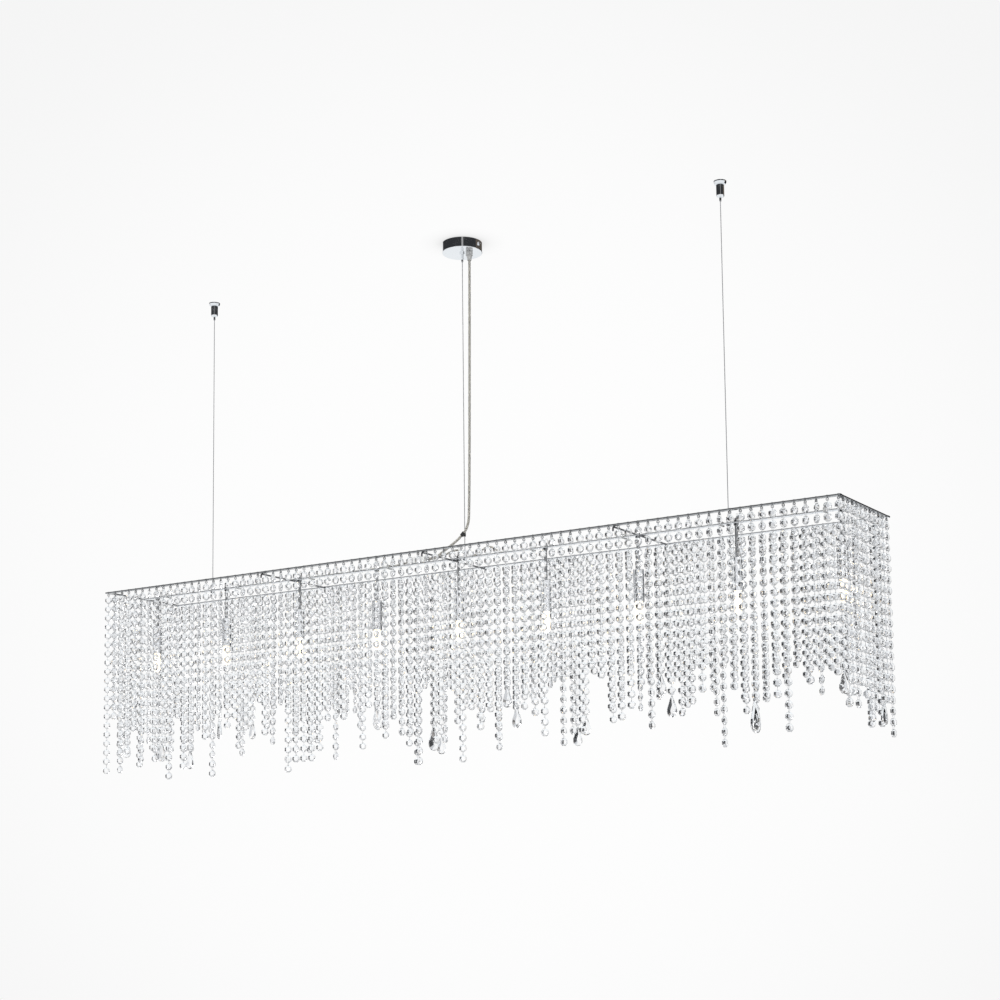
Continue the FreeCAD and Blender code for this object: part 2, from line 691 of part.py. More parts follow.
# Power cable, clipped to the centre wire and led into the splice on the centre bar
write("power_cable", tube("power_cable", cable_route, cable_radius))
run_start = vector(*cable_route[clipped_run])
run_end = vector(*cable_route[clipped_run + 1])
cable_middle = (run_start + run_end) / 2
down = run_end - run_start
down.normalize()
clip_low = cable_middle.z - clip_height / 2
clip_high = cable_middle.z + clip_height / 2
wire_sleeve = upright(wire_radius + clip_wall, 0, 0, clip_low, clip_high)
cable_sleeve = rod(cable_radius + clip_wall, cable_middle - down * (clip_height / 2),
                   cable_middle + down * (clip_height / 2))
clip = wire_sleeve.fuse(cable_sleeve)
clip = clip.cut(upright(wire_radius + running_clearance, 0, 0, clip_low - 1, clip_high + 1))
clip = clip.cut(tube("cable_clip_bore", cable_route, cable_radius + running_clearance))
write("cable_clip", clip)
splice_end = splice_start - splice_length
write("splice_block", block(vector(splice_end, -splice_width / 2, bar_top),
                            vector(splice_start, splice_width / 2, bar_top + splice_height)))

# Lamp leads along the centre bar, a branch wire into each stem and the ties that hold the leads
right_end = lamp_places[-1] + lead_distance
left_end = lamp_places[0] - lead_distance
right_lead_route.append((right_end, lead_distance, -lead_drop))
left_lead_route.append((left_end, lead_distance, -lead_drop))
write("lamp_lead_right", tube("lamp_lead_right", right_lead_route, lead_radius))
write("lamp_lead_left", tube("lamp_lead_left", left_lead_route, lead_radius))
middle_lamp = lamp_places[lamp_count // 2]
above_middle_lamp = Part.makeLine(vector(middle_lamp, lead_distance, bar_bottom),
                                  vector(middle_lamp, lead_distance, wire_exit))
wave_height = tube_path("wave_height", right_lead_route).distToShape(above_middle_lamp)[1][0][0].z


def branch_wire(x, lead_height):
    """From the lead's top, over in a half turn and down the stem to the holder."""
    start = lead_height + lead_radius + branch_gap
    turn_height = max(start, stem_top) + branch_rise
    half = lead_distance / 2
    edges = [
        Part.LineSegment(vector(x, lead_distance, start), vector(x, lead_distance, turn_height)).toShape(),
        Part.Arc(vector(x, lead_distance, turn_height), vector(x, half, turn_height + half),
                 vector(x, 0, turn_height)).toShape(),
        Part.LineSegment(vector(x, 0, turn_height), vector(x, 0, stem_bottom)).toShape(),
    ]
    section = Part.Wire(Part.makeCircle(branch_radius, vector(x, lead_distance, start), up))
    return Part.Wire(edges).makePipeShell([section], True, False)


write("branch_wires", [branch_wire(x, wave_height if x == middle_lamp else -lead_drop) for x in lamp_places])

ties = []
for x in lamp_places:
    if x == middle_lamp:
        continue
    centre = x + tie_distance if x < middle_lamp else x - tie_distance
    near = -bar_width / 2 - tie_gap
    far = lead_distance + lead_radius + tie_gap
    low = bar_bottom - tie_gap
    high = -lead_drop + lead_radius + tie_gap
    outside = block(vector(centre - tie_width / 2, near - tie_wall, low - tie_wall),
                    vector(centre + tie_width / 2, far + tie_wall, high + tie_wall))
    inside = block(vector(centre - tie_width, near, low), vector(centre + tie_width, far, high))
    ties.append(outside.cut(inside))
write("lead_ties", ties)
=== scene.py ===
import math
import random

import bpy
import numpy
from mathutils import Matrix, Vector


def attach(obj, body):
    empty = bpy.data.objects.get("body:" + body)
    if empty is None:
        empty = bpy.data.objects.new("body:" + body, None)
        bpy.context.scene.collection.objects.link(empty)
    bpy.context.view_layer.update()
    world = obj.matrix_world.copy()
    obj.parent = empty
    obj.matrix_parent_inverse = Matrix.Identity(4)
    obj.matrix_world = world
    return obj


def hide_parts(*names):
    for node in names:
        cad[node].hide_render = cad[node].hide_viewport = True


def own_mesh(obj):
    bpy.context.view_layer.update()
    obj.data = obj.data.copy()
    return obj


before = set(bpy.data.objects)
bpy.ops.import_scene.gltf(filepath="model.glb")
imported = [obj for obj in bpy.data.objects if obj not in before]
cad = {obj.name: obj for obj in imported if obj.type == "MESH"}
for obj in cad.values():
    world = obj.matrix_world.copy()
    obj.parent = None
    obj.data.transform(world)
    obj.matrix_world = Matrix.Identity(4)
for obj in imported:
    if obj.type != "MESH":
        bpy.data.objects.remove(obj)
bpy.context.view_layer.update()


# Ceiling strap
# Zinc-plated steel, pressed and bent, screwed to the ceiling. The cup's side screws go into its
# two tabs. Zinc shows as a dull bluish grey with faint cloudy crystals.
class Shade:
    """One output of a shader node. Sums on it become Math nodes in the same finish."""

    def __init__(self, finish, socket):
        self.finish = finish
        self.socket = socket

    def maths(self, operation, first, second):
        return self.finish.add("Math", {"operation": operation}, {0: first, 1: second})

    def __add__(self, other):
        return self.maths("ADD", self, other)

    __radd__ = __add__

    def __sub__(self, other):
        return self.maths("SUBTRACT", self, other)

    def __rsub__(self, other):
        return self.maths("SUBTRACT", other, self)

    def __mul__(self, other):
        return self.maths("MULTIPLY", self, other)

    __rmul__ = __mul__


class Finish:
    """A surface finish: one material or world, built node by node."""

    def __init__(self, owner):
        owner.use_nodes = True
        self.owner = owner
        self.tree = owner.node_tree
        self.tree.nodes.clear()

    def add(self, kind, settings, inputs, output=0):
        """A node of that kind. Its settings are made first, then its sockets get values or links."""
        node = self.tree.nodes.new("ShaderNode" + kind)
        for name, value in settings.items():
            if name == "stops":
                ramp = node.color_ramp.elements
                while len(ramp) < len(value):
                    ramp.new(0.5)
                for element, (place, colour) in zip(ramp, value):
                    element.position = place
                    element.color = (*colour, 1.0)
            else:
                setattr(node, name, value)
        for name, value in inputs.items():
            socket = node.inputs[name]
            if isinstance(value, Shade):
                self.tree.links.new(value.socket, socket)
            elif socket.type == "RGBA" and len(value) == 3:
                socket.default_value = (*value, 1.0)
            else:
                socket.default_value = value
        return Shade(self, node.outputs[output]) if len(node.outputs) else None

    def place(self):
        """The point on the piece, in metres."""
        return self.add("TexCoord", {}, {}, "Object")

    def cloud(self, grain, detail=2.0):
        """Soft random patches, from 0 to 1, as large as the grain in metres."""
        return self.add("TexNoise", {}, {"Vector": self.place(), "Scale": 1 / grain, "Detail": detail})

    def blend(self, mask, low, high):
        """A colour between two, by a mask from 0 to 1."""
        return self.add("Mix", {"data_type": "RGBA"}, {"Factor": mask, 6: low, 7: high}, 2)

    def spread(self, mask, low, high):
        """A mask stretched to run from low to high."""
        return self.add("MapRange", {}, {"Value": mask, "From Min": 0.3, "From Max": 0.7,
                                         "To Min": low, "To Max": high})

    def bump(self, height, distance):
        """A relief for the Normal socket, as deep as the distance in metres."""
        return self.add("Bump", {}, {"Height": height, "Distance": distance})

    def body(self, **sockets):
        """The Principled shader, with names such as Base_Color for its sockets."""
        inputs = {name.replace("_", " "): value for name, value in sockets.items()}
        return self.add("BsdfPrincipled", {}, inputs)

    def end(self, surface, output="OutputMaterial"):
        """Joins the shader to the output, and gives the material or world."""
        self.add(output, {}, {"Surface": surface})
        return self.owner


def new_finish(name):
    return Finish(bpy.data.materials.new(name))


def coat(material, *pieces):
    """Gives a material to whole pieces, by object or by the name of a CAD node."""
    for piece in pieces:
        data = cad[piece].data if isinstance(piece, str) else piece.data
        data.materials.clear()
        data.materials.append(material)


finish = new_finish("zinc_plate")
zinc_cloud = finish.cloud(0.004, 3)
zinc_plate = finish.end(finish.body(
    Base_Color=finish.blend(zinc_cloud, (0.42, 0.44, 0.46), (0.60, 0.61, 0.62)),
    Metallic=1.0,
    Roughness=finish.spread(finish.cloud(0.0015), 0.28, 0.42),
    Normal=finish.bump(zinc_cloud, 0.0001),
))
coat(zinc_plate, "canopy_bracket")

# Canopy cup, side screws, wire grips and side grippers
# Turned and pressed steel or brass with a mirror chrome plate. The cup slips over the strap, and
# two slotted screws hold it. The grippers' barrels screw into bases on the ceiling.
finish = new_finish("chrome_plate")
smudge = finish.cloud(0.05, 3)
chrome_plate = finish.end(finish.body(
    Base_Color=finish.blend(smudge, (0.78, 0.79, 0.81), (0.86, 0.87, 0.88)),
    Metallic=1.0,
    Roughness=finish.spread(finish.cloud(0.012, 4), 0.03, 0.09),
))
coat(chrome_plate, "canopy_cup", "canopy_screws", "canopy_grip_body", "canopy_grip_locknut",
     "canopy_grip_nipple")
for side in ("left", "right"):
    coat(chrome_plate, "gripper_base_" + side, "gripper_barrel_" + side, "gripper_nipple_" + side)

# Springs over the release nipples
# Bright drawn steel wire, wound close, hidden inside the grips. The turns show as fine rings, with
# painted shade in the grooves between them. Each spring is held at its top and gets shorter when its
# nipple is pressed.
finish = new_finish("spring_wire")
turns = finish.add("TexWave", {"bands_direction": "Z"}, {"Vector": finish.place(), "Scale": 380.0})
spring_wire = finish.end(finish.body(
    # Painted shade: the colour is darker in the grooves between the turns.
    Base_Color=finish.blend(turns, (0.22, 0.22, 0.23), (0.55, 0.55, 0.56)),
    Metallic=1.0,
    Roughness=finish.spread(finish.cloud(0.003), 0.2, 0.35),
    Normal=finish.bump(turns, 0.0003),
))
springs = {
    "canopy_grip_spring": "centre_nipple_press",
    "gripper_spring_left": "left_nipple_press",
    "gripper_spring_right": "right_nipple_press",
}
for name, joint in springs.items():
    coat(spring_wire, name)
    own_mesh(cad[name])

# Cable gland, its soft tip and locknut, and the terminal block
# Clear nylon gland, moulded, with a tapered tip that grips the cable below the cup. The block is
# white plastic and sits on the strap.
finish = new_finish("clear_nylon")
milk = finish.cloud(0.006, 3)
clear_nylon = finish.end(finish.body(
    Base_Color=finish.blend(milk, (0.62, 0.62, 0.61), (0.84, 0.84, 0.82)),
    Roughness=finish.spread(milk, 0.12, 0.26),
    Transmission_Weight=0.45,
    IOR=1.5,
    Normal=finish.bump(finish.cloud(0.002), 0.0001),
))
coat(clear_nylon, "cable_gland", "gland_sleeve", "gland_locknut")

finish = new_finish("white_moulding")
fine = finish.cloud(0.0012)
white_moulding = finish.end(finish.body(
    Base_Color=finish.blend(finish.cloud(0.02), (0.80, 0.80, 0.78), (0.88, 0.88, 0.86)),
    Roughness=finish.spread(fine, 0.32, 0.45),
    Normal=finish.bump(fine, 0.00008),
))
coat(white_moulding, "terminal_block")

# Suspension wires
# Stainless steel rope, six thin wires laid up round a seventh, with a soft metallic sheen. Each
# is pressed into its anchor at the bottom and held by its gripper at the top.
wire_middles = {"left": -0.655, "centre": 0.0, "right": 0.570}      # along the frame, from the canopy
outer_wires = 6
lay_turn = 700.0                # radians about the middle wire along one metre
for side, middle in wire_middles.items():
    finish = new_finish("steel_rope_" + side)
    place = finish.place()
    x = finish.add("SeparateXYZ", {}, {"Vector": place}, 0) - middle
    y = finish.add("SeparateXYZ", {}, {"Vector": place}, 1)
    height = finish.add("SeparateXYZ", {}, {"Vector": place}, 2)
    around = finish.add("Math", {"operation": "ARCTAN2"}, {0: y, 1: x})
    twist = around * outer_wires + height * (outer_wires * lay_turn)
    lay = finish.add("Math", {"operation": "SINE"}, {0: twist}) * 0.5 + 0.5
    steel_rope = finish.end(finish.body(
        # Painted shade: the colour is darker in the grooves between the laid wires.
        Base_Color=finish.blend(lay, (0.24, 0.24, 0.25), (0.62, 0.62, 0.63)),
        Metallic=1.0,
        Roughness=finish.spread(finish.cloud(0.01), 0.22, 0.34),
        Normal=finish.bump(lay, 0.0002),
    ))
    coat(steel_rope, "wire_" + side)
# The hidden tails above the grips share the last rope's finish.
coat(steel_rope, "wire_tails")

# Cable clip
# A small black moulded clip of two joined rings. It ties the power cable to the centre wire, about
# 45 mm above the bars.
finish = new_finish("black_moulding")
grain = finish.cloud(0.0008)
black_moulding = finish.end(finish.body(
    Base_Color=finish.blend(finish.cloud(0.004), (0.012, 0.012, 0.013), (0.03, 0.03, 0.03)),
    Roughness=finish.spread(grain, 0.28, 0.42),
    Normal=finish.bump(grain, 0.00005),
))
coat(black_moulding, "cable_clip")

# Wire anchors and their nuts
# Turned brass cones with a chrome plate. Each holds its wire's end inside, and its threaded stud goes
# through the centre bar to a hexagon nut below.
coat(chrome_plate, "wire_anchors", "anchor_nuts")


# Power cable
# A round cable: three beige cores, twisted, in a clear soft sleeve. It hangs from the gland beside
# the centre wire, is clipped to the wire above the frame and runs down into the splice block.
def bare_line(name, points):
    """A smooth open line through the air, with the route's points as its control points."""
    curve = bpy.data.curves.new(name, "CURVE")
    curve.dimensions = "3D"
    spline = curve.splines.new("NURBS")
    spline.points.add(len(points) - 1)
    for point, place in zip(spline.points, points):
        point.co = (*(value / 1000 for value in place), 1.0)
    spline.order_u = 3
    spline.use_endpoint_u = True
    curve.resolution_u = 12
    piece = bpy.data.objects.new(name, curve)
    bpy.context.scene.collection.objects.link(piece)
    return piece


def line_places(piece):
    """The places along a bare line, in order."""
    mesh = bpy.data.meshes.new_from_object(piece)
    places = [vertex.co.copy() for vertex in mesh.vertices]
    bpy.data.meshes.remove(mesh)
    return places


def add_mesh(name, places, faces, smooth):
    """A new object from places and faces, shaded smooth or flat."""
    mesh = bpy.data.meshes.new(name)
    mesh.from_pydata(places, [], faces)
    mesh.polygons.foreach_set("use_smooth", [smooth] * len(mesh.polygons))
    mesh.update()
    piece = bpy.data.objects.new(name, mesh)
    bpy.context.scene.collection.objects.link(piece)
    return piece


def stations(places, spacing):
    """Evenly spaced points on a line, each with two directions across it that don't twist."""
    lengths = [0.0]
    for before, after in zip(places, places[1:]):
        lengths.append(lengths[-1] + (after - before).length)
    count = max(2, round(lengths[-1] / spacing))
    points = []
    for i in range(count + 1):
        run = lengths[-1] * i / count
        leg = min(range(len(places) - 1), key=lambda k: 0 if lengths[k] <= run <= lengths[k + 1] else 1)
        share = (run - lengths[leg]) / max(lengths[leg + 1] - lengths[leg], 1e-9)
        points.append(places[leg].lerp(places[leg + 1], share))
    made = []
    across = Vector((0, 1, 0))
    for i, point in enumerate(points):
        along = (points[min(i + 1, count)] - points[max(i - 1, 0)]).normalized()
        across = (across - along * across.dot(along)).normalized()
        made.append((point, across, along.cross(across), lengths[-1] * i / count))
    return made


def tube_faces(rings, around, first=0, capped=True):
    """The faces of a tube, by its number of rings and of points around each ring."""
    faces = []
    for ring in range(rings - 1):
        for k in range(around):
            low = first + ring * around + k
            beside = first + ring * around + (k + 1) % around
            faces.append((low, beside, beside + around, low + around))
    if capped:
        last = first + (rings - 1) * around
        faces.append(tuple(first + k for k in reversed(range(around))))
        faces.append(tuple(last + k for k in range(around)))
    return faces


def twisted_cores(name, line, count, core_radius, lay_radius, pitch):
    """Round cores laid up in a helix inside a sleeve, as one mesh."""
    sides = 8
    step = 0.002
    places = []
    faces = []
    rings = stations(line, step)
    for core in range(count):
        faces += tube_faces(len(rings), sides, len(places))
        for point, across, upward, run in rings:
            turn = 2 * math.pi * (core / count + run / pitch)
            middle = point + (across * math.cos(turn) + upward * math.sin(turn)) * lay_radius
            for k in range(sides):
                angle = 2 * math.pi * k / sides
                places.append(middle + (across * math.cos(angle) + upward * math.sin(angle)) * core_radius)
    return add_mesh(name, places, faces, True)


finish = new_finish("clear_sleeve")
haze = finish.cloud(0.02, 3)
clear_sleeve = finish.end(finish.body(
    Base_Color=finish.blend(haze, (0.86, 0.85, 0.81), (0.95, 0.94, 0.92)),
    Roughness=finish.spread(haze, 0.08, 0.16),
    Transmission_Weight=0.85,
    IOR=1.45,
))
finish = new_finish("core_insulation")
insulation_tone = finish.cloud(0.006, 2)
core_insulation = finish.end(finish.body(
    Base_Color=finish.blend(insulation_tone, (0.44, 0.415, 0.36), (0.70, 0.67, 0.60)),
    Roughness=finish.spread(insulation_tone, 0.35, 0.5),
    Normal=finish.bump(finish.cloud(0.002), 0.00005),
))

cable_radius = 0.0025
cable_points = [(17.0, 0.0, -37.0), (17.0, 0.0, -75.0), (14.0, -3.5, -545.0), (10.5, -4.6, -581.0),
                (-13.0, -4.6, -602.0), (-46.0, -3.0, -618.5), (-70.0, 0.0, -631.0), (-90.0, 0.0, -631.0)]
power_cable = bare_line("power_cable_sleeve", cable_points)
cable_line = line_places(power_cable)
power_cores = twisted_cores("power_cable_cores", cable_line, count=3, core_radius=0.00085,
                            lay_radius=0.00105, pitch=0.045)
power_cable.data.bevel_depth = cable_radius
power_cable.data.bevel_resolution = 4
power_cable.data.use_fill_caps = True
coat(clear_sleeve, power_cable)
coat(core_insulation, power_cores, "cable_tail")
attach(power_cable, "hanging_frame")
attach(power_cores, "hanging_frame")
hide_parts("power_cable")

# Lamp leads
# Thinner cable of the same kind, from the white splice block out along the centre bar to both ends,
# tied to the bar with clear ties beside the lamps. The right lead stands up in loose waves near the
# middle. Single white wires branch off into the stems.
lead_radius = 0.002
right_lead = [(-90.0, 5.5, -631.0), (-70.0, 5.5, -631.0), (-44.0, 8.0, -622.0), (-18.0, 8.0, -617.0),
              (14.0, 8.0, -640.0), (50.0, 8.0, -615.0), (78.0, 8.0, -637.0), (102.0, 8.0, -636.0),
              (793.0, 8.0, -636.0)]
left_lead = [(-130.0, 3.5, -632.0), (-148.0, 3.5, -632.0), (-168.0, 8.0, -636.0), (-823.0, 8.0, -636.0)]
for side, points in (("left", left_lead), ("right", right_lead)):
    lead = bare_line("lamp_lead_sleeve_" + side, points)
    cores = twisted_cores("lamp_lead_cores_" + side, line_places(lead), count=2, core_radius=0.0007,
                          lay_radius=0.0007, pitch=0.03)
    lead.data.bevel_depth = lead_radius
    lead.data.bevel_resolution = 3
    lead.data.use_fill_caps = True
    coat(clear_sleeve, lead)
    coat(core_insulation, cores)
    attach(lead, "hanging_frame")
    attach(cores, "hanging_frame")
    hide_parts("lamp_lead_" + side)
coat(clear_nylon, "lead_ties")
coat(white_moulding, "splice_block", "branch_wires")

# Frame bars, cross rods and hook pins
# Flat steel bars, welded at the corners and plated in chrome. Round cross rods are welded below them,
# with painted shade that makes their metal dark. Headed pins with flat eyes drop through the bars'
# holes, one for each crystal string.
bar_width = 0.010
bar_thickness = 0.003
bar_height = -0.6385            # of the bars' middle
edge_round = 0.001
hold = 0.0002


def joined(name, parts):
    """One smooth mesh from several lists of places and faces."""
    all_places = []
    all_faces = []
    for places, faces in parts:
        first = len(all_places)
        all_places += places
        all_faces += [tuple(first + k for k in face) for face in faces]
    return add_mesh(name, all_places, all_faces, True)


def flat_bar(start, end):
    """A flat bar between two points of the frame's plane, its long edges eased.

    A further point just beyond each rounded edge holds the shading of the flats level.
    """
    section = []
    for corner, (u, v) in enumerate(((1, 1), (-1, 1), (-1, -1), (1, -1))):
        middle = (u * (bar_width / 2 - edge_round), v * (bar_thickness / 2 - edge_round))
        arc = [math.radians(90 * corner + step) for step in (0, 22.5, 45, 67.5, 90)]
        points = [(middle[0] + edge_round * math.cos(a), middle[1] + edge_round * math.sin(a)) for a in arc]
        before = (points[0][0] + hold * math.sin(arc[0]), points[0][1] - hold * math.cos(arc[0]))
        after = (points[-1][0] - hold * math.sin(arc[-1]), points[-1][1] + hold * math.cos(arc[-1]))
        section += [before] + points + [after]
    along = (Vector(end) - Vector(start)).normalized()
    across = Vector((along.y, -along.x, 0.0))
    places = []
    for x, y in (start, end):
        places += [Vector((x, y, bar_height)) + across * u + Vector((0, 0, v)) for u, v in section]
    count = len(section)
    faces = [(k, k + count, (k + 1) % count + count, (k + 1) % count) for k in range(count)]
    # The two cut ends have points of their own, so that they shade flat.
    ends = [tuple(range(2 * count, 3 * count)), tuple(range(3 * count, 4 * count))[::-1]]
    return places + places, faces + ends


# Chrome painted darker than the plate: painted shade for the darker reflections these pieces show.
finish = new_finish("shade_painted_chrome")
wear = finish.cloud(0.02, 3)
shade_painted_chrome = finish.end(finish.body(
    Base_Color=finish.blend(wear, (0.24, 0.245, 0.25), (0.36, 0.365, 0.37)),
    Metallic=1.0,
    Roughness=finish.spread(wear, 0.06, 0.14),
))
bar_lines = {
    "front": ((-0.860, -0.110), (0.830, -0.110)),
    "back": ((-0.860, 0.110), (0.830, 0.110)),
    "left": ((-0.855, -0.105), (-0.855, 0.105)),
    "right": ((0.825, -0.105), (0.825, 0.105)),
    "centre": ((-0.850, 0.0), (0.820, 0.0)),
}
# The front and end bars get a chrome painted darker than the back and centre ones: painted shade for their
# darker reflections.
for name, (start, end) in bar_lines.items():
    bar = joined("flat_bar_" + name, [flat_bar(start, end)])
    coat(chrome_plate if name in ("back", "centre") else shade_painted_chrome, bar)
    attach(bar, "hanging_frame")
    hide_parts("rail_" + name)
# The rods' colour is painted dark: painted shade for the dark reflections they show.
finish = new_finish("shade_painted_rod_metal")
drawn = finish.cloud(0.004, 3)
shade_painted_rod_metal = finish.end(finish.body(
    Base_Color=finish.blend(drawn, (0.14, 0.14, 0.15), (0.26, 0.26, 0.27)),
    Metallic=1.0,
    Roughness=finish.spread(drawn, 0.10, 0.22),
))
coat(shade_painted_rod_metal, "cross_rod_left", "cross_rod_centre", "cross_rod_right")
# The pins get the darker chrome too: painted shade.
coat(shade_painted_chrome, "hook_pins")

# Lamp stems, nuts and sleeves
# Chrome-plated steel tube, threaded at the top, with a nut above and below the bar. It carries a
# chrome sleeve that hides the ceramic lamp holder.
# The stems and nuts get the darker chrome: painted shade.
coat(shade_painted_chrome, "lamp_stems", "stem_nuts")
coat(chrome_plate, "lamp_sleeves")
finish = new_finish("glazed_ceramic")
glaze = finish.cloud(0.003, 3)
glazed_ceramic = finish.end(finish.body(
    Base_Color=finish.blend(glaze, (0.80, 0.78, 0.74), (0.90, 0.89, 0.86)),
    Roughness=finish.spread(glaze, 0.3, 0.5),
    Normal=finish.bump(glaze, 0.0001),
))
coat(glazed_ceramic, "lamp_holders")


# Capsule lamps
# Clear quartz capsules, blown round at the end and pinched flat at the neck, with two pins in the
# holder. The coiled filament is lit and fills the capsule with warm light.
first_lamp = -0.815
lamp_spacing = 0.2
lamp_count = 9
holder_face = -0.757            # the lower face of the lamp holders
capsule_radius = 0.007
capsule_tip = holder_face - 0.046
neck_low = holder_face - 0.014
neck_high = holder_face - 0.0002
neck_overlap = 0.0005
neck_half_width = 0.006
neck_half_thickness = 0.0025
filament_low = holder_face - 0.040
filament_high = holder_face - 0.018
leg_distance = 0.0028           # from the lamp's middle line, as the pins'
coil_radius = 0.0007
coil_wire = 0.00018
pin_low = holder_face - 0.0005
pin_high = holder_face + 0.006
pin_radius = 0.00045
pin_distance = 0.0045


def turned_shell(x, profile, sides=20):
    """Places and faces of a turned shape about an upright line, from (radius, height) pairs."""
    places = []
    for radius, height in profile:
        for k in range(sides):
            angle = 2 * math.pi * k / sides
            places.append(Vector((x + radius * math.cos(angle), radius * math.sin(angle), height)))
    return places, tube_faces(len(profile), sides)


def capsule_profile(radius, tip, top):
    """A round-ended tube, from its lowest point up."""
    profile = [(radius * math.sin(angle), tip + radius * (1 - math.cos(angle)))
               for angle in (math.radians(step) for step in (8, 24, 42, 60, 76, 90))]
    return profile + [(radius, top), (radius * 0.93, top + 0.0015), (radius * 0.6, top + 0.003)]


def pinch(x, low, high, half_width, half_thickness):
    """The flat pressed neck of a capsule, thicker along its two edges."""
    half_outline = [(share * half_width, -depth * half_thickness) for share, depth in (
        (-1, 1), (-0.7, 1), (-0.6, 0.45), (0.6, 0.45), (0.7, 1), (1, 1))]
    ring = half_outline + [(u, -v) for u, v in reversed(half_outline)]
    places = [Vector((x + u, v, z)) for z in (low, high) for u, v in ring]
    return places, tube_faces(2, len(ring))


def filament(x, low, high):
    """A tight coil of thin wire that hangs in a narrow bow between two legs."""
    coil_turns = 26
    steps = 8
    sides = 4
    slant = 0.00012
    places = []
    for i in range(coil_turns * steps + 1):
        share = i / (coil_turns * steps)
        bow = leg_distance * math.cos(math.pi * share)
        sink = (high - low) * math.sin(math.pi * share)
        turn = 2 * math.pi * i / steps
        middle = Vector((x + bow + coil_radius * math.cos(turn), coil_radius * math.sin(turn), high - sink))
        for k in range(sides):
            angle = 2 * math.pi * k / sides
            places.append(middle + Vector((coil_wire * math.cos(angle), coil_wire * math.sin(angle),
                                           slant * (k % 2))))
    return places, tube_faces(coil_turns * steps + 1, sides, capped=False)


finish = new_finish("lit_quartz")
warm_patch = finish.cloud(0.008, 2)
lit_quartz = finish.end(finish.body(
    Base_Color=finish.blend(warm_patch, (0.50, 0.42, 0.26), (0.56, 0.48, 0.34)),
    Roughness=finish.spread(warm_patch, 0.25, 0.4),
    Transmission_Weight=0.5,
    IOR=1.3,
    Emission_Color=finish.blend(warm_patch, (1.0, 0.87, 0.68), (1.0, 0.92, 0.76)),
    Emission_Strength=1.25,
))
finish = new_finish("glowing_filament")
glowing_filament = finish.end(finish.body(
    Base_Color=(0.2, 0.2, 0.2),
    Roughness=0.5,
    Emission_Color=finish.blend(finish.cloud(0.002), (1.0, 0.66, 0.30), (1.0, 0.80, 0.48)),
    Emission_Strength=14.0,
))
bulb_parts = []
filament_parts = []
pin_parts = []
pin_profile = [(pin_radius, pin_low), (pin_radius, pin_high)]
for lamp in range(lamp_count):
    x = first_lamp + lamp_spacing * lamp
    bulb_parts.append(turned_shell(x, capsule_profile(capsule_radius, capsule_tip, neck_low)))
    bulb_parts.append(pinch(x, neck_low - neck_overlap, neck_high, neck_half_width, neck_half_thickness))
    filament_parts.append(filament(x, filament_low, filament_high))
    for sign in (-1, 1):
        pin_parts.append(turned_shell(x + sign * pin_distance, pin_profile, sides=8))
bulb_glass = joined("bulb_capsules", bulb_parts)
bulb_filaments = joined("bulb_filaments", filament_parts)
bulb_pins = joined("bulb_pins", pin_parts)
coat(lit_quartz, bulb_glass)
coat(glowing_filament, bulb_filaments)
coat(chrome_plate, bulb_pins)
for piece in (bulb_glass, bulb_filaments, bulb_pins):
    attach(piece, "hanging_frame")
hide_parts("bulbs")


# Crystal strings
# Octagon crystals, cut and polished on both faces, in strings of about a dozen to twenty. Each has a
# hole at its top and bottom, and a small chrome wire link joins it to the next. Some strings end in a
# pear-shaped drop.
bead_pitch = 0.0194
bead_half = 0.007
hole_reach = 0.0052             # from a crystal's middle to each of its holes
hook_pitch = 0.02
table_radius = 0.0036
shoulder_radius = 0.0052
girdle_radius = bead_half / math.cos(math.radians(22.5))
table_depth = 0.0029
girdle_depth = 0.0013
shoulder_flat = shoulder_radius * math.cos(math.radians(22.5))
middle_share = (shoulder_flat - table_radius) / (girdle_radius - table_radius)
shoulder_depth = table_depth + (girdle_depth - table_depth) * middle_share
link_half_width = 0.0017
link_wire = 0.0004
ring_radius = 0.0032
ring_wire = 0.0005
loose_turn = 9                  # degrees that a crystal may be turned in its string, each way
loose_nod = 4


def octagon_crystal():
    """One crystal as (across, through, up) places and its flat facets."""
    places = []
    faces = []
    girdles = []
    rings = ((table_radius, table_depth, 22.5), (shoulder_radius, shoulder_depth, 0.0),
             (girdle_radius, girdle_depth, 22.5))
    for side in (-1, 1):
        table = len(places)
        shoulder = table + 8
        girdle = table + 16
        girdles.append(girdle)
        for radius, depth, shift in rings:
            for k in range(8):
                angle = math.radians(shift + 45 * k)
                places.append((radius * math.cos(angle), side * depth, radius * math.sin(angle)))
        made = [tuple(table + k for k in range(8))]
        for k in range(8):
            before = (k - 1) % 8
            after = (k + 1) % 8
            made.append((table + k, shoulder + after, table + after))
            made.append((table + k, shoulder + k, girdle + k, shoulder + after))
            made.append((shoulder + k, girdle + before, girdle + k))
        faces += [face if side == -1 else face[::-1] for face in made]
    near, far = girdles
    for k in range(8):
        after = (k + 1) % 8
        faces.append((near + k, far + k, far + after, near + after))
    return numpy.array(places), faces


def wire_link(half_width, half_height, wire, around=12, sides=5):
    """An oval wire link, upright and at right angles to the crystals' faces."""
    places = []
    faces = []
    for i in range(around):
        turn = 2 * math.pi * i / around
        after = (i + 1) % around
        for k in range(sides):
            angle = 2 * math.pi * k / sides
            out = wire * math.cos(angle)
            places.append((wire * math.sin(angle), (half_width + out) * math.cos(turn),
                           (half_height + out) * math.sin(turn)))
            beside = (k + 1) % sides
            faces.append((i * sides + k, after * sides + k, after * sides + beside, i * sides + beside))
    return numpy.array(places), faces


